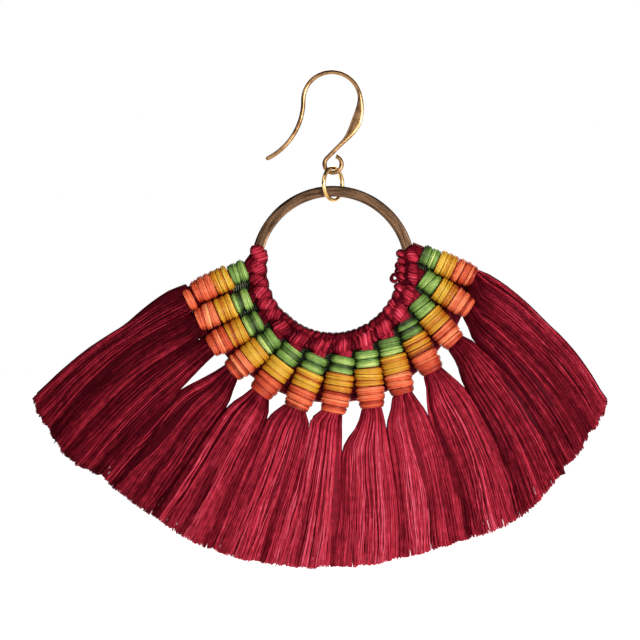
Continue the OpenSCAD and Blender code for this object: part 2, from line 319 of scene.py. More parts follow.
def back_to(i, r):
    """How far back from its first wrap bundle i crosses radius r: the root of a circle and a line."""
    b = along(i, 0.0) @ run_dir[i]
    return -b + np.sqrt(b * b - root_r ** 2 + r ** 2)


def angle_of(p):
    """Angle of a point in the XZ plane, counted on past 360 in the right upper quarter."""
    a = np.degrees(np.arctan2(p[..., 2], p[..., 0])) % 360
    return np.where(a < 90, a + 360, a)


leave_angle = np.array([angle_of(along(i, back_to(i, leave_r))) for i in range(COUNT)])
hitch_edges = np.concatenate([
    [FIRST_HITCH], (leave_angle[:-1] + leave_angle[1:]) / 2, [LAST_HITCH]])


class Form:
    """Points, faces and per-point tones that are gathered into one piece."""

    def __init__(self):
        self.points, self.faces, self.tones, self.count = [], [], [], 0

    def add(self, points, faces, tone=0.5):
        """Adds a part: its faces are arrays of corner numbers, its tone one number a point."""
        points = points.reshape(-1, 3)
        self.points.append(points)
        self.faces += [f.reshape(-1, f.shape[-1]) + self.count for f in faces]
        self.tones.append(np.broadcast_to(tone, len(points)))
        self.count += len(points)

    def piece(self, name, body, finish, slot, *nodes):
        """Makes the mesh in metres, gives it its finish, lets it ride on a body and hides the nodes
        of the part that it stands for."""
        mesh = bpy.data.meshes.new(name)
        corners = np.concatenate([f.ravel() for f in self.faces])
        sizes = np.concatenate([np.full(len(f), f.shape[1]) for f in self.faces])
        mesh.vertices.add(self.count)
        mesh.vertices.foreach_set("co", (np.concatenate(self.points) * MM).astype(np.float32).ravel())
        mesh.loops.add(len(corners))
        mesh.loops.foreach_set("vertex_index", corners.astype(np.int32))
        mesh.polygons.add(len(sizes))
        mesh.polygons.foreach_set("loop_start", (np.cumsum(sizes) - sizes).astype(np.int32))
        mesh.polygons.foreach_set("use_smooth", np.ones(len(sizes), bool))
        mesh.update(calc_edges=True)
        tone = mesh.attributes.new("tone", "FLOAT", "POINT")
        tone.data.foreach_set("value", np.concatenate(self.tones).astype(np.float32))
        mesh.materials.append(finish)
        shape = bpy.data.objects.new(name, mesh)
        bpy.context.scene.collection.objects.link(shape)
        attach(shape, body)
        if nodes:
            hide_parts(*nodes)


def skin(rows, closed):
    """Faces of a grid of points (strip, row, side): each cell of the grid is a four-sided face.
    Sides always join round, rows only where the strip is closed; open strips get an end face."""
    strips, rows_n, sides = rows.shape[:3]
    at = np.arange(strips * rows_n * sides).reshape(strips, rows_n, sides)
    beside = np.roll(at, -1, axis=2)
    if closed:
        return [np.stack([at, beside, np.roll(beside, -1, axis=1), np.roll(at, -1, axis=1)], axis=-1)]
    cells = np.stack([at[:, :-1], beside[:, :-1], beside[:, 1:], at[:, 1:]], axis=-1)
    return [cells, at[:, 0, ::-1], at[:, -1]]


def sweep(paths, wide, deep, sides, up=BACK, square=2.0, closed=False):
    """Skin along paths (strip, point, xyz). Each section is the path's point plus wide times a
    rounded cosine along the normal and deep times a rounded sine along the second normal. The
    normal is the path's direction crossed with up, the second one the direction crossed with the
    normal. A rounded sine is its value to the power 2 / square, with its sign kept."""
    if closed:
        ahead = np.roll(paths, -1, axis=1) - np.roll(paths, 1, axis=1)
    else:
        ahead = np.gradient(paths, axis=1)
    ahead = unit(ahead)
    normal = unit(np.cross(ahead, up))
    second = np.cross(ahead, normal)
    a = whole_turn(sides)
    square = np.broadcast_to(square, paths.shape[:2])[..., None]
    c = signed_power(np.cos(a), 2 / square)
    s = signed_power(np.sin(a), 2 / square)
    wide = np.broadcast_to(wide, paths.shape[:2])[..., None]
    deep = np.broadcast_to(deep, paths.shape[:2])[..., None]
    rows = (paths[:, :, None] + (wide * c)[..., None] * normal[:, :, None]
            + (deep * s)[..., None] * second[:, :, None])
    return rows, skin(rows, closed)


def threads(form, paths, radius, tone, up=BACK, sides=4, closed=False):
    """Adds round threads along paths. The tone is one number, one a thread or one a point."""
    rows, faces = sweep(paths, radius, radius, sides, up, closed=closed)
    tone = np.asarray(tone, float)
    tone = tone.reshape(tone.shape + (1,) * (3 - tone.ndim))
    form.add(rows, faces, np.broadcast_to(tone, rows.shape[:3]).ravel())


class Wire:
    """A value inside a node tree. Sums, differences and products of it add Math nodes."""

    def __init__(self, nodes, socket):
        self.nodes, self.socket = nodes, socket

    def math(self, operation, a, b):
        """Adds a Math node that works on a and b, and returns what comes out of it."""
        return self.nodes.node("ShaderNodeMath", {"operation": operation}, {0: a, 1: b})

    def __add__(self, other):
        return self.math("ADD", self, other)

    def __sub__(self, other):
        return self.math("SUBTRACT", self, other)

    def __rsub__(self, other):
        return self.math("SUBTRACT", other, self)

    def __mul__(self, other):
        return self.math("MULTIPLY", self, other)

    __radd__, __rmul__ = __add__, __mul__


class Nodes:
    """A node tree that grows by one method."""

    def __init__(self, owner):
        owner.use_nodes = True
        self.tree = owner.node_tree

    def node(self, kind, settings=None, sockets=None, out=0):
        """Adds a node, sets it up, fills or links its sockets and returns one of its outputs."""
        made = self.tree.nodes.new(kind)
        for key, value in (settings or {}).items():
            if key == "stops":
                ramp = made.color_ramp.elements
                for place, colour in value[1:-1]:
                    ramp.new(place)
                for stop, (place, colour) in zip(ramp, value):
                    stop.position, stop.color = place, (*colour, 1)
            else:
                setattr(made, key, value)
        for key, value in (sockets or {}).items():
            self.feed(made.inputs[key], value)
        return Wire(self, made.outputs[out])

    def feed(self, socket, value):
        """Links a value of the tree to a socket, or sets the socket to a plain value."""
        if isinstance(value, Wire):
            self.tree.links.new(value.socket, socket)
        else:
            socket.default_value = value


class Finish(Nodes):
    """A finish: a Principled shader whose changing sockets are fed by nodes."""

    def __init__(self, name, **plain):
        self.material = bpy.data.materials.new(name)
        super().__init__(self.material)
        self.shader = self.tree.nodes["Principled BSDF"]
        for word, value in plain.items():
            self.set(word.replace("_", " ").title().replace("Ior", "IOR"), value)

    def set(self, socket, value):
        """Feeds or sets one of the shader's sockets."""
        self.feed(self.shader.inputs[socket], value)

    def colour(self, stops, tone):
        """Gives the surface the colours of a ramp, picked by a tone from 0 to 1."""
        self.set("Base Color", self.node("ShaderNodeValToRGB", {"stops": stops}, {"Fac": tone}))

    def tone(self):
        """The tone that the piece's points carry."""
        return self.node("ShaderNodeAttribute", {"attribute_name": "tone"}, out="Fac")

    def place(self):
        """The point's place on its piece, in metres."""
        return self.node("ShaderNodeTexCoord", out="Object")

    def noise(self, scale, detail=2.0, rough=0.5):
        """Cloudy noise from 0 to 1 with so many waves a metre."""
        return self.node("ShaderNodeTexNoise", sockets={
            "Vector": self.place(), "Scale": scale, "Detail": detail, "Roughness": rough})

    def bump(self, height, strength, distance):
        """Lets light break on a height field whose relief is a distance in metres."""
        self.set("Normal", self.node("ShaderNodeBump", sockets={
            "Height": height, "Strength": strength, "Distance": distance}))


def rgb(red, green, blue):
    """A colour as the eye reads it, 0 to 255, turned into the linear light that shaders use."""
    c = np.array([red, green, blue]) / 255
    return tuple(np.where(c <= 0.04045, c / 12.92, ((c + 0.055) / 1.055) ** 2.4).tolist())


# Waves a metre of the noise on each finish, those of the band's lines across and round it, and the
# strength and the depth in metres of each finish's relief
SILK_PATCHES, SILK_FIBRES = 900.0, 9000.0
WEAR_PATCHES, SCRATCHES = 420.0, 3200.0
LINES_ACROSS, LINES_ROUND = 2600, 3.0
FIBRE_RELIEF, SCRATCH_RELIEF, LINE_RELIEF = (0.25, 0.00004), (0.04, 0.00003), (0.5, 0.00004)
# How strongly thread is patchy, then the contrast of the band's lines, how much painted shade
# darkens its outer edge and its tone between the lines
PATCHY = 0.4
LINE_CONTRAST, EDGE_SHADE, BAND_TONE = 2.6, 0.9, 0.6


def silk(name, stops, rough, gloss, tint):
    """Thread: its colour follows the tone of each strand, a little patchy along its length."""
    f = Finish(name, roughness=rough, specular_ior_level=gloss, specular_tint=(*tint, 1))
    f.colour(stops, f.tone() + (f.noise(SILK_PATCHES) - 0.5) * PATCHY)
    f.bump(f.noise(SILK_FIBRES, 3.0), *FIBRE_RELIEF)
    return f.material


def metal(name, dark, light, rough):
    """Metal: its colour and gloss wander between dull and bright places, with fine scratches."""
    f = Finish(name, metallic=1.0)
    wear = f.noise(WEAR_PATCHES, 4.0, 0.6)
    f.colour([(0.3, dark), (0.7, light)], wear)
    f.set("Roughness", wear * -0.12 + rough)
    f.bump(f.noise(SCRATCHES, 3.0), *SCRATCH_RELIEF)
    return f.material


def brushed(name, dark, light, rough):
    """Metal of the band: fine lines run round it, since the noise is stretched along the turn, and
    painted shade darkens its colour towards the outer edge with the ninth power of the share of its
    width."""
    f = Finish(name, metallic=1.0)
    away = f.node("ShaderNodeVectorMath", {"operation": "SUBTRACT"}, {
        0: f.place(), 1: tuple(hoop_mid * MM)})
    x = f.node("ShaderNodeSeparateXYZ", sockets={0: away}, out="X")
    z = f.node("ShaderNodeSeparateXYZ", sockets={0: away}, out="Z")
    r = f.node("ShaderNodeVectorMath", {"operation": "LENGTH"}, {0: away}, "Value")
    turn = x.math("ARCTAN2", z, x)
    across = f.node("ShaderNodeCombineXYZ", sockets={"X": r * LINES_ACROSS, "Y": turn * LINES_ROUND})
    lines = f.node("ShaderNodeTexNoise", sockets={"Vector": across, "Scale": 1.0, "Detail": 4.0})
    # Painted shade on the band's outer edge
    edge = (r - hoop_in_r * MM) * (1 / (HOOP_BAND * MM))
    edge = edge.math("POWER", edge.math("MAXIMUM", edge, 0), 9)
    tone = (lines - 0.5) * LINE_CONTRAST - edge * EDGE_SHADE + BAND_TONE
    f.colour([(0.0, dark), (1.0, light)], tone)
    f.set("Roughness", lines * -0.15 + rough)
    f.bump(lines, *LINE_RELIEF)
    return f.material


hook_metal = metal("hook_metal", rgb(70, 44, 22), rgb(166, 127, 88), 0.3)
ring_metal = metal("ring_metal", rgb(150, 112, 60), rgb(216, 178, 118), 0.26)
hoop_metal = brushed("hoop_metal", rgb(20, 12, 7), rgb(102, 76, 56), 0.42)
crimson = silk("crimson_silk", [
    (0.0, rgb(46, 0, 5)),
    (0.3, rgb(101, 14, 26)),
    (0.6, rgb(160, 38, 54)),
    (1.0, rgb(204, 92, 110)),
], rough=0.5, gloss=0.08, tint=(1, 0.3, 0.4))
green_thread = silk("green_thread", [
    (0.0, rgb(12, 22, 10)),
    (0.25, rgb(52, 76, 28)),
    (0.55, rgb(94, 123, 53)),
    (0.8, rgb(138, 156, 82)),
    (1.0, rgb(190, 186, 110)),
], rough=0.4, gloss=0.35, tint=(1, 1, 0.7))
yellow_thread = silk("yellow_thread", [
    (0.0, rgb(96, 32, 8)),
    (0.2, rgb(142, 64, 14)),
    (0.4, rgb(158, 98, 19)),
    (0.65, rgb(163, 121, 24)),
    (1.0, rgb(184, 150, 53)),
], rough=0.4, gloss=0.35, tint=(1, 0.9, 0.6))
orange_thread = silk("orange_thread", [
    (0.0, rgb(84, 14, 8)),
    (0.25, rgb(138, 34, 16)),
    (0.5, rgb(175, 72, 42)),
    (0.8, rgb(188, 104, 68)),
    (1.0, rgb(198, 140, 88)),
], rough=0.4, gloss=0.35, tint=(1, 0.7, 0.5))

# A row of wraps: its colour and finish, its place out along the bundles, its thickness, the length
# of a turn, its tone and how this changes outwards, its ridges and the windings in each of their
# folds, the share by which its outer end rounds over, and the first and last place of the cords in
# its creases, by the wrap's length
Row = namedtuple("Row", "colour finish at thick turn light trend ridges windings dome first last")
ROWS = [
    Row("green", green_thread, 0.0, GREEN_D, GREEN_TURN, 0.57, 0.15, 2, 4, 0, -0.7, 0.44),
    Row("yellow", yellow_thread, yellow_at, YELLOW_D, YELLOW_TURN, 0.57, -0.24, 3, 3, 0, -0.56, 0.44),
    Row("orange", orange_thread, orange_at, ORANGE_D, ORANGE_TURN, 0.53, -0.25, 3, 3, 0.14, -0.56,
        CORDS_TO),
]


def arc(mid, r, start, sweep_angle, count):
    """Points of an arc in the XZ plane."""
    return mid + polar(r, np.linspace(start, start + sweep_angle, count))


def make_hook():
    """One wire: tail, bend, front, neck and eye, end to end. It is a circle in section, and along
    the front it widens and flattens with the square of half a sine wave, as hammering does. The
    tail's end is rounded over by a quarter circle."""
    tail = arc(tail_mid, TAIL_R, -TAIL_TURN, TAIL_TURN, 60)
    bend = arc(bend_mid, BEND_R, 180, -180, 70)[1:]
    front = arc(front_mid, FRONT_R, 0, -FRONT_TURN, 60)[1:]
    neck = front_end + np.linspace(0, 1, 14)[1:, None] * NECK_LEN * neck_dir
    eye = arc(eye_mid, EYE_R, 180 - FRONT_TURN, eye_turn, 60)[1:]
    path = np.concatenate([tail, bend, front, neck, eye])
    run = np.append(0, np.cumsum(np.linalg.norm(np.diff(path, axis=0), axis=1)))
    start = run[len(tail) + len(bend) - 1] - BEAT_OVER
    beaten = HAMMER_TO * FRONT_R * np.radians(FRONT_TURN) + 2 * BEAT_OVER
    beat = np.sin(np.pi * np.clip((run - start) / beaten, 0, 1)) ** 2
    from_end = np.clip(np.arange(len(path)) / 3, 0.05, 1)
    tip = np.sqrt(1 - (1 - from_end) ** 2)
    wide = mix(HOOK_WIRE, HAMMER_W, beat) / 2 * tip
    deep = mix(HOOK_WIRE, HAMMER_T, beat) / 2 * tip
    form = Form()
    rows, faces = sweep(path[None], wide, deep, sides=32, square=2 + BEAT_SQUARE * beat)
    form.add(rows, faces)
    form.piece("hook_wire", "hook", hook_metal, "hook_metal", "ear_hook")


def make_ring():
    """An open circle of round wire, turned about the vertical, with cut ends at the split."""
    split = np.degrees(RING_SPLIT / ring_mid_r)
    circle = polar(ring_mid_r, np.linspace(SPLIT_ANGLE + split / 2, SPLIT_ANGLE + 360 - split / 2, 120))
    a = np.radians(90 - RING_TURN)
    path = np.stack([circle[:, 0] * np.cos(a), circle[:, 0] * np.sin(a), circle[:, 2]], axis=-1)
    form = Form()
    axis = np.array([-np.sin(a), np.cos(a), 0])
    rows, faces = sweep((ring_mid + path)[None], RING_WIRE / 2, RING_WIRE / 2, sides=28, up=axis)
    form.add(rows, faces)
    form.piece("ring_wire", "ring", ring_metal, "ring_metal", "jump_ring")


def make_hoop():
    """A flat band turned round the hoop's middle, its edges rounded over."""
    path = hoop_mid + polar(hoop_in_r + HOOP_BAND / 2, np.arange(0, 360, 1.5))
    form = Form()
    rows, faces = sweep(path[None], HOOP_BAND / 2, HOOP_T / 2, sides=40, square=HOOP_SQUARE, closed=True)
    form.add(rows, faces)
    form.piece("hoop_band", "drop", hoop_metal, "hoop_metal", "hoop")


def wrap_radius(row, s):
    """Outer radius of a wrap at the share s of its length: half its thickness, less the share dome
    of it at the outer end, in an eased curve."""
    return row.thick / 2 * (1 - row.dome * ease((s - 0.5) * 2))


def ridge_profile(s, ridges):
    """How near the share s of a wrap's length is to a groove between ridges, and to an edge of one
    of a ridge's two folds, from 0 to 1, and how far the thread sinks in there: towards a groove as
    a circle does, towards a fold's edge with the third power. The wrap's ends sink in less."""
    ends = np.where(np.abs(s - 0.5) > 0.5 - 0.5 / ridges, END_SHARE, 1)
    groove = np.abs(np.mod(s * ridges, 1) * 2 - 1) * ends
    crease = np.abs(np.mod(s * ridges * 2, 1) * 2 - 1)
    sunk = GROOVE_DEEP / ridges * (1 - np.sqrt(1 - 0.94 * groove ** 2)) + CREASE_DEEP * crease ** 3
    return groove, crease, sunk


def wind(form, i, row, length, shift=0.0):
    """One wrap of thread round bundle i: a screw line whose radius swells between the grooves that
    part its ridges, as a circle does, and a little again in each of a ridge's two folds. Painted
    shade darkens it near the grooves, the creases and the sides. Each winding has a tone of its
    own, and each fold leans a little. A filling of the same form, dark with painted shade, lies
    under it."""
    folds = row.ridges * 2
    rounds = folds * row.windings
    s = np.linspace(0, 1, rounds * WINDING_POINTS + 1)
    a = TURN * (rounds * s + chance.random())
    z = (s - 0.5) * (length - WRAP_THREAD)
    groove, crease, sunk = ridge_profile(s, row.ridges)
    r = wrap_radius(row, s) - WRAP_THREAD - sunk
    r = r + RADIUS_WAVER * np.sin(a * RADIUS_WAVES + TURN * chance.random())
    lean = chance.normal(LEAN, WRAP_LEAN)
    lean = lean + np.interp(s * folds, np.arange(folds + 1), chance.normal(0, FOLD_LEAN, folds + 1))
    z = z + lean * np.cos(a) * np.cos(np.pi * (s - 0.5))
    z = z + PLACE_WAVER * np.sin(a * PLACE_WAVES + TURN * chance.random())
    side = (r * np.cos(a) * SPREAD[i] + shift + SLIP[i])[:, None] * run_side[i]
    path = hoop_mid + along(i, row.at) + z[:, None] * run_dir[i] + side + (r * np.sin(a))[:, None] * BACK
    rows, faces = sweep(path[None], WRAP_THREAD, WRAP_THREAD, WRAP_SIDES, run_dir[i])
    fold_light = chance.normal(row.light, FOLD_TONE, folds + 1)
    fold = (np.arange(rounds + 2) // row.windings).clip(0, folds)
    shade = fold_light[fold] + chance.normal(0, WINDING_TONE, rounds + 2)
    tone = np.interp(rounds * s, np.arange(rounds + 2), shade)
    # Painted shade in the grooves between ridges and in the creases of the folds
    tone = tone - GROOVE_SHADE * groove ** 6 - CREASE_SHADE * crease ** 4
    tone = tone + row.trend * (s - 0.5)
    # Painted shade on the sides, where the winding turns away
    tone = tone - WRAP_SIDE_SHADE * np.abs(np.cos(a)) ** 5
    form.add(rows, faces, np.repeat(tone, WRAP_SIDES))
    # A filling under the thread, dark with painted shade
    s = np.linspace(0.01, 0.99, 16)
    r = wrap_radius(row, s) - 1.2 * WRAP_THREAD - ridge_profile(s, row.ridges)[2]
    middle = hoop_mid + along(i, row.at) + ((s - 0.5) * length)[:, None] * run_dir[i]
    rows, faces = sweep((middle + (shift + SLIP[i]) * run_side[i])[None], r * SPREAD[i], r, sides=20)
    form.add(rows, faces, row.light - FILLING_SHADE)


def make_wraps(row, strip):
    """A row of wraps of one colour. Cords fill the creases between the wraps, dark with painted shade,
    green ones in the green row and silk in the others: straight from bundle to bundle, and bowed back
    by half a sine wave. Behind runs the thread from one wrap to the next, strands twisted round its
    line."""
    form = Form()
    length = row.turn * TURNS
    for i in range(COUNT):
        wind(form, i, row, length)
    here = np.array([along(i, row.at) + SLIP[i] * run_side[i] for i in range(COUNT)])
    t = np.linspace(0, 1, 9)[:, None]
    straight = here[:-1, None] + (here[1:] - here[:-1])[:, None] * t
    out = mix(run_dir[:-1, None], run_dir[1:, None], t)
    # The crease cords' dark tone is painted shade
    ties, tie_shade = (form, GREEN_CORD_SHADE) if row.colour == "green" else (strip, SILK_CORD_SHADE)
    last = np.broadcast_to(row.last, COUNT - 1)
    for far in np.linspace(row.first, last, CREASE_CORDS)[..., None, None] * length:
        back = CORD_BACK + CORD_BOW * np.sin(np.pi * t) + chance.normal(0, 0.08)
        cords = straight + far * out + hoop_mid + BACK * back
        threads(ties, cords, length * CORD_SHARE, chance.normal(tie_shade, 0.06, COUNT - 1), sides=6)
    back, twist_r = row.thick / 2 - RUN_D * 0.36, RUN_D * 0.3
    for a in whole_turn(RUN_STRANDS):
        cords = straight + hoop_mid + BACK * (back + twist_r * np.cos(a + RUN_TWIST * t))
        cords = cords + run_dir[:-1, None] * (twist_r * np.sin(a + RUN_TWIST * t))
        threads(form, cords, RUN_THREAD, chance.uniform(0.4, 0.6, COUNT - 1), sides=5)
    if row.colour == "orange":
        extra = row._replace(
            at=row.at + row.turn * EXTRA_AT, thick=row.thick * EXTRA_THICK,
            light=EXTRA_LIGHT, trend=0, ridges=1, windings=4, dome=0)
        wind(form, 0, extra, row.turn * EXTRA_LEN, EXTRA_SHIFT)
    form.piece(f"{row.colour}_wraps", "drop", row.finish, f"cord_{row.colour}", f"wrap_row_{row.colour}")


def knot(form, kind, angle, turned, long, light):
    """A plump oval of thread wound round a short axis: closed loops side by side, each an ellipse
    that shrinks towards the ends of the axis as a squared oval does, of power 2.6. The slant pushes
    the outer side of a loop along the axis on the front and back on the other side. Painted shade
    darkens the tone towards the ends of the axis with the third power, and with the fourth power of
    the cosine where the loops turn over to the back. Each loop is set, sized and toned a little by
    chance."""
    way = polar(1, angle + 90 + turned)
    loops = int(round(long / LOOP_PITCH))
    u = np.linspace(-1, 1, loops)[:, None] + chance.normal(0, 0.02, (loops, 1))
    size = (1 - np.clip(0.94 * np.abs(u), 0, 0.97) ** 2.6) ** 0.5
    a = whole_turn(18)
    wave = chance.normal(1, 0.03, (loops, 1))
    push = kind.slant * size * kind.high / 2 * np.cos(a) * np.sign(np.sin(a)) * np.sin(a) ** 2
    step = u * long / 2 * 0.92 - push
    up, back = size * wave * kind.high / 2 * np.cos(a), size * wave * kind.deep / 2 * np.sin(a)
    paths = hoop_mid + polar(kind.r, angle) + step[..., None] * way
    paths = paths + up[..., None] * np.cross(way, BACK) + back[..., None] * BACK
    tone = light - kind.dim + chance.normal(0, kind.uneven, (loops, 1))
    tone = tone + 0.06 * np.sin(3 * a + TURN * chance.random((loops, 1)))
    # Painted shade towards the knot's ends and where its loops turn over to the back
    tone = tone - 0.5 * np.abs(u) ** 3 - 0.36 * np.abs(np.cos(a)) ** 4
    threads(form, paths, KNOT_THREAD, tone, way, closed=True)


def make_ropes(form, i, start, end):
    """Dark ropes of silk of bundle i, side by side between two angles. Each strand goes round the
    band on a squared oblong, which narrows by a fifth within ten degrees of the strip's ends. It
    winds round the rope's own middle with a sine inwards and a cosine sideways, a whole number of
    turns each time round, and on the front it leans."""
    loops = int(round((end - start) / LOOP_ANGLE))
    step = (end - start) / loops
    a = whole_turn(22)
    c, s = signed_power(np.cos(a), 0.7), signed_power(np.sin(a), 0.7)
    middle = hoop_in_r + (HOOP_BAND + HITCH_OUT - HITCH_IN) / 2
    half = HOOP_T / 2 + HITCH_SIDE
    phase = whole_turn(ROPE_STRANDS)[:, None]
    for k in range(loops):
        here = start + step * (k + 0.5)
        from_end = min(here - FIRST_HITCH, LAST_HITCH - here)
        room = 0.8 + 0.2 * ease((from_end - 1) / 9)
        radial = (HOOP_BAND + HITCH_IN + HITCH_OUT) / 2 * room
        twist = chance.choice([-3, 3, 4]) * a + phase + TURN * chance.random()
        sunk = 0.36 - ROPE_R * np.sin(twist) + chance.normal(0, 0.04)
        r = middle + (radial + chance.normal(0, 0.07) - sunk) * c
        y = (half * room - sunk) * s
        lean = chance.normal(0.3, 0.22) * step * np.where(s < 0, 1, 0) * c
        angle = here + np.cos(twist) * step * 0.4 + lean
        paths = hoop_mid + polar(r, angle) + y[..., None] * BACK
        # The ropes' tone follows the bundle's painted light and shade
        tone = PAINTED_LIGHT[i] - ROPE_DARK + chance.normal(0, 0.08) + chance.normal(0, 0.1, ROPE_STRANDS)
        threads(form, paths, HITCH_THREAD, tone, polar(1, here + 90), closed=True)


def make_hitches(form, i):
    """Silk of bundle i round the band: dark ropes, and plump knots on them. Two slanted ones a
    bundle run up the left side. Elsewhere there is an outer row of one a bundle, a little longer
    than its share of the arc, and an inner row of two or three."""
    start, end = hitch_edges[i] + HITCH_ROOM, hitch_edges[i + 1] - HITCH_ROOM
    make_ropes(form, i, start, end)
    bright = KNOT_BRIGHT + chance.normal(0, 0.05)
    if i < LEFT_END:
        for place in (0.1, 0.6):
            knot(form, LEFT_KNOT, mix(start, end, place) + 2, LEFT_SLOPE, LEFT_LONG, bright)
        return
    middle, wide = (start + end) / 2, np.radians(end - start)
    if i < RIGHT_START:
        kind, inner, turned = OUTER_KNOT, LOWER_INNER, chance.normal(0, 4)
    else:
        kind, inner, turned = RIGHT_KNOT, RIGHT_INNER, 6
    knot(form, kind, middle, turned, wide * OUTER_ROW_R * 1.14, bright)
    for place in inner.places:
        here = mix(start, end, place + chance.normal(0, 0.03))
        knot(form, INNER_KNOT, here, chance.normal(0, 6), wide * INNER_ROW_R * inner.fill, inner.light)


def make_eyelets(form):
    """Small eyelets of thread that stand off the strip's inner edge at the right: the radius on the
    hoop falls with a cosine and the angle goes with a sine, and the tilt brings one side forward."""
    t = np.linspace(0, 1, 20)
    for place, size, tilt, reach in EYELETS:
        for k in range(EYELET_THREADS):
            a = TURN * (t - 0.5) * chance.uniform(0.9, 1.1)
            r = hoop_in_r - HITCH_IN + EYELET_ROOT - size * (reach + np.cos(a)) * chance.normal(1, 0.1)
            angle = place + np.degrees(size * 1.15 * np.sin(a) / hoop_in_r) + chance.normal(0, 0.6)
            y = -0.5 + tilt * np.sin(a) * size + EYELET_PITCH * k
            path = hoop_mid + polar(r, angle) + y[:, None] * BACK
            threads(form, path[None], EYELET_THREAD, chance.normal(0.04, 0.1), sides=5)


def edge_line(corner, parting, t):
    """A lock's edge from its head corner: the radius grows evenly with t, and the angle goes evenly
    from the corner to the fork and from the fork to the tip, averaged over a short stretch."""
    fork, fork_angle, tip, tip_angle = parting[:4]
    first_r = np.linalg.norm(corner)
    tip_r = head_r + tip * FRINGE_LEN
    fork_r = max(head_r + fork * FRINGE_LEN - TURN_BEFORE, first_r + 0.3)
    r = mix(first_r, tip_r, t)
    window = WIDE_TURN if fork > SHORT_FORK else NARROW_TURN
    a = sum(np.interp(r + near, [first_r, fork_r, tip_r], [angle_of(corner), fork_angle, tip_angle])
            for near in np.linspace(-window, window, 5)) / 5
    beyond = (tip_angle - fork_angle) / (tip_r - fork_r)
    return polar(r, a + beyond * np.maximum(0, r - tip_r))


def lock_body(i, t):
    """Middle line, half width, half depth and outward bulge of lock i at the shares t of its length."""
    head = along(i, head_at)
    left = edge_line(head - run_side[i] * HEAD_W / 2, PARTINGS[i], t)
    right = edge_line(head + run_side[i] * HEAD_W / 2, PARTINGS[i + 1], t)
    middle = (left + right) / 2
    full, thin = np.interp(t, DOWN, FULL), np.interp(t, DOWN, THIN)
    deep = mix(HEAD_T, mix(LOCK_T, TIP_T, thin) * BODY[i], full) / 2
    return middle, (right - left) / 2, deep, unit(middle) * (TIP_BULGE * thin)[..., None]


def lock_point(i, t, x, y):
    """The place in lock i at share t, x across from -1 to 1 and y through from -1 to 1: the middle
    line plus x half widths, y half depths and the bulge times 1 less the square of x."""
    middle, half, deep, bulge = lock_body(i, t)
    across = x[..., None]
    return middle + half * across + bulge * (1 - across ** 2) + (deep * y)[..., None] * BACK


def sway(count, t, size, slow, fast):
    """Waves along t, one a row: a chance height times the sine of a chance number of turns between
    slow and fast, begun anywhere."""
    turns = chance.uniform(slow, fast, (count, 1))
    return chance.normal(0, size, (count, 1)) * np.sin(TURN * (t * turns + chance.random((count, 1))))


def thread_places(t):
    """Where the threads of a lock lie at the shares t of its length: the tuft of each thread, and
    its places across and through, from -1 to 1. Tufts stand in three rows across the lock's oval.
    A thread keeps its place in its tuft, an oval that is narrow at the head and fills out below.
    Slow waves carry tufts and threads from side to side, and a fast one crimps each thread."""
    outer = np.linspace(-OUTER_REACH, OUTER_REACH, OUTER_TUFTS)
    x0 = np.concatenate([outer, np.linspace(-MIDDLE_REACH, MIDDLE_REACH, MIDDLE_TUFTS), outer])
    x0 = x0 + chance.normal(0, 0.025, len(x0))
    row = np.repeat([-1, 0, 1], [OUTER_TUFTS, MIDDLE_TUFTS, OUTER_TUFTS])
    room = np.sqrt(np.maximum(0.05, 1 - x0 ** 2))
    y0 = ROW_APART * row * room + chance.normal(0, 0.05, len(x0))
    tuft = np.repeat(np.arange(len(x0)), np.where(row == 0, MIDDLE_THREADS, OUTER_THREADS))
    count = len(tuft)
    wave = sway(len(x0), t, TUFT_SWAY, 0.5, 1.2)[tuft]
    own = sway(count, t, THREAD_SWAY, 0.8, 2.2)
    own = own * np.where(chance.random((count, 1)) < STRAY_CHANCE, STRAY_SWAY, 1)
    a = TURN * chance.random((count, 1))
    r = np.sqrt(chance.random((count, 1)))
    spread = mix(0.75, 1, ease(t * 3)) * mix(1.15, 1.45, ease(t * 2 - 1)) / OUTER_TUFTS
    x = x0[tuft, None] + r * np.cos(a) * spread + (wave + own) * ease(t * 2)
    x = x + sway(count, t, CRIMP, 3.5, 5)
    y = y0[tuft, None] + r * np.sin(a) * 0.36 * room[tuft, None] + wave * 1.5 + own
    return tuft, x, y


def thread_tones(i, tuft, x, share):
    """Tones of lock i's threads at the shares of their way: each tuft and thread has its own, with
    an odd dark or bright one, and it drifts on its way, as random tone and as painted highlights of
    crimped silk. Painted shade darkens them at the lock's sides with the fourth power, under the
    wraps, and in tufts that sink back. Locks in deeper painted shade show more contrast."""
    tufts, count = tuft[-1] + 1, len(tuft)
    contrast = CONTRAST - PAINTED_LIGHT[i]
    tone = chance.normal(0, TUFT_TONE, tufts)[tuft] + chance.normal(0, THREAD_TONE, count)
    tone = tone + ODD_TONE * chance.choice([-1, 0, 1], count, p=[0.1, 0.8, 0.1])
    # The threads' mean tone follows the bundle's painted light and shade
    tone = PAINTED_LIGHT[i] + LIFT + tone * contrast
    # Random tone and painted highlights of crimped silk drift along each thread
    drift = sway(count, share, SLOW_DRIFT, 1.5, 3.5) + chance.normal(0, FAST_DRIFT, (count, len(share)))
    # Painted shade in sunken tufts, under the wraps and at the lock's sides
    sunk = np.where(chance.random(tufts) < 0.2, SUNK_SHADE * (1 - PAINTED_LIGHT[i]), 0)[tuft, None]
    shade = -HEAD_SHADE * (1 - ease(share * 5)) - sunk * ease(share * 1.6 - 0.2)
    edge = -SIDE_SHADE * np.abs(x) ** 4
    return tone[:, None] + drift * contrast + edge + shade


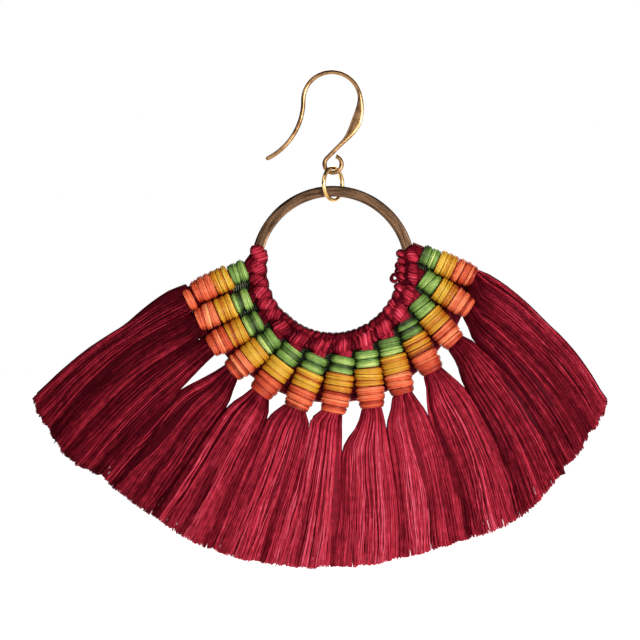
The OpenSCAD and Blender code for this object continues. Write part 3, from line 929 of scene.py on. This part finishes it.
def make_lock(i):
    """The fringe of bundle i: threads from inside the orange wrap down to the cut. Down to the
    forks they are held inside the lock, and below they may stand out a little. Every tuft and
    thread is cut a little shorter or longer."""
    form = Form()
    t = np.linspace(0, 1, 17)
    tuft, x, y = thread_places(t)
    cut = np.clip(chance.normal(0, TUFT_CUT, tuft[-1] + 1), -MOST_CUT, MOST_CUT)[tuft]
    length = 1 + cut + chance.normal(0, THREAD_CUT, len(tuft))
    down = np.clip(t * length[:, None], 0, LONGEST)
    size = np.sqrt(x ** 2 + y ** 2)
    fork = np.where(x < 0, PARTINGS[i, 0], PARTINGS[i + 1, 0])
    reach = 1 + STAND_OUT * ease((down - fork - 0.02) / 0.15)
    hold = np.where(size > reach, reach / size, 1)
    slipped = SLIP[i] * (1 - ease(down * 2))[..., None] * run_side[i]
    paths = hoop_mid + lock_point(i, down, x * hold, y * hold) + slipped
    tuck = hoop_mid + along(i, head_at - TUCK) + SLIP[i] * run_side[i] + (
        x[:, :1] * run_side[i] + y[:, :1] * BACK) * CORE_D * 0.42
    paths = np.concatenate([tuck[:, None], paths], axis=1)
    tone = thread_tones(i, tuft, np.append(x[:, :1], x, axis=1), np.append(0, t))
    radius = np.broadcast_to(FRINGE_THREAD * np.append(1.0, mix(1, 0.9, t)), paths.shape[:2])
    threads(form, paths, radius, tone, sides=3)
    fill_lock(form, i)
    return form


def fill_lock(form, i):
    """A core inside lock i, dark with painted shade, so that no light falls through the threads: its
    oval, at 0.86 of its width above both forks, and just past its full width below both, where it
    meets its neighbours. It draws in and thins out towards the cut."""
    share = np.linspace(0, 0.95, 20)
    middle, half, deep, _ = lock_body(i, share)
    near, far = np.sort(PARTINGS[i:i + 2, 0])
    below = 0.97 if i in (0, COUNT - 1) else 1.04
    fill = mix(mix(0.86, 0.99, ease((share - near) / 0.1)), below, ease((share - far) / 0.1))
    fill = fill * mix(1, 0.88, ease((share - 0.8) / 0.15))
    rows, faces = sweep((hoop_mid + middle)[None], np.linalg.norm(half, axis=-1) * fill,
                        deep * mix(0.72, 0.2, ease((share - 0.6) / 0.33)), sides=24)
    # The core's tone is the bundle's painted light less painted shade
    form.add(rows, faces, PAINTED_LIGHT[i] - CORE_SHADE)


def make_core(form, i):
    """The bundle inside the wraps of tassel i: strands side by side on a circle, straight out from
    the band, and slipped sideways with the wraps in an eased curve."""
    a = whole_turn(22)
    ring = (np.cos(a)[:, None] * run_side[i] + np.sin(a)[:, None] * BACK) * (CORE_D / 2 - 0.05)
    start = back_to(i, hoop_out_r - HOOP_BAND / 4)
    s = np.linspace(start, head_at, 8)
    slipped = SLIP[i] * ease((s - start) / 1.5)[:, None] * run_side[i]
    paths = hoop_mid + along(i, s)[None] + ring[:, None] + slipped
    # The core's tone follows the bundle's painted light and shade
    threads(form, paths, CORE_THREAD, PAINTED_LIGHT[i] - 0.12 + chance.normal(0, 0.06, len(a)), sides=5)


def make_tassels(strip):
    """The silk: a fringe lock for each bundle, and the strip of hitches in one piece."""
    for i in range(COUNT):
        form = make_lock(i)
        form.piece(f"fringe_{i + 1:02d}", "drop", crimson, "silk", f"tassel_{i + 1:02d}")
    for i in range(COUNT):
        make_hitches(strip, i)
        make_core(strip, i)
    make_eyelets(strip)
    strip.piece("silk_hitches", "drop", crimson, "silk")


make_hook()
make_ring()
make_hoop()
strip = Form()
for row in ROWS:
    make_wraps(row, strip)
make_tassels(strip)

# Each lamp: its name, place, size and power. All look at the middle of the earring.
LAMPS = [
    ("key", (0.3, -0.5, -0.1), 0.35, 8.0),
    ("fill", (-0.35, -0.4, 0.3), 0.4, 1.6),
    ("rim", (0.1, 0.45, 0.25), 0.4, 3.5),
]
LOOK_AT = Vector((0, 0, -0.045))
FLOOR_AT = -0.125
# Lens and film width of the camera, in millimetres, and the share of the frame that is filled
LENS, FILM, FRAME_SHARE = 180, 36, 0.9


def make_stage():
    """A pale floor under the hanging earring, a surround and three soft lights. The surround shines
    brightest from the lower right in front, and to the camera itself it is plain white."""
    bpy.ops.mesh.primitive_circle_add(vertices=96, radius=4, fill_type="NGON", location=(0, 0, FLOOR_AT))
    floor = bpy.context.object
    floor.name = "floor"
    paper = Finish("paper", base_color=(0.9, 0.9, 0.9, 1), roughness=0.9,
                   emission_color=(1, 1, 1, 1), emission_strength=1.0)
    floor.data.materials.append(paper.material)
    floor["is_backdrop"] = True
    world = bpy.data.worlds.new("surround")
    bpy.context.scene.world = world
    sky = Nodes(world)
    look = sky.node("ShaderNodeTexCoord", out="Generated")
    facing = sky.node("ShaderNodeVectorMath", {"operation": "DOT_PRODUCT"}, {
        0: look, 1: (0.55, -0.45, -0.7)}, "Value")
    glow = sky.node("ShaderNodeMapRange", sockets={
        "Value": facing, "From Min": -0.1, "From Max": 0.8, "To Min": 0.06, "To Max": 1.4})
    seen = sky.node("ShaderNodeLightPath", out="Is Camera Ray")
    surround = sky.tree.nodes["Background"].inputs
    strength = sky.node("ShaderNodeMix", sockets={"Factor": seen, "A": glow, "B": 1.0})
    sky.feed(surround["Strength"], strength)
    sky.feed(surround["Color"], (1, 1, 1, 1))
    for name, place, size, power in LAMPS:
        lamp = bpy.data.lights.new(name, "AREA")
        lamp.size, lamp.energy = size, power
        light = bpy.data.objects.new(name, lamp)
        light.location = place
        light.rotation_euler = (LOOK_AT - light.location).to_track_quat("-Z", "Y").to_euler()
        bpy.context.scene.collection.objects.link(light)


def make_camera():
    """A long lens straight in front, level with the middle of the earring."""
    low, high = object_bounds()
    lens = bpy.data.cameras.new("camera")
    lens.lens, lens.sensor_width = LENS, FILM
    lens.clip_end = 20
    camera = bpy.data.objects.new("camera", lens)
    width = (high.x - low.x) / FRAME_SHARE
    middle = (low + high) / 2
    camera.location = (middle.x, -width * lens.lens / lens.sensor_width, middle.z)
    camera.rotation_euler = (np.pi / 2, 0, 0)
    bpy.context.scene.collection.objects.link(camera)
    bpy.context.scene.camera = camera


make_stage()
make_camera()
bpy.context.scene.view_settings.view_transform = "Standard"
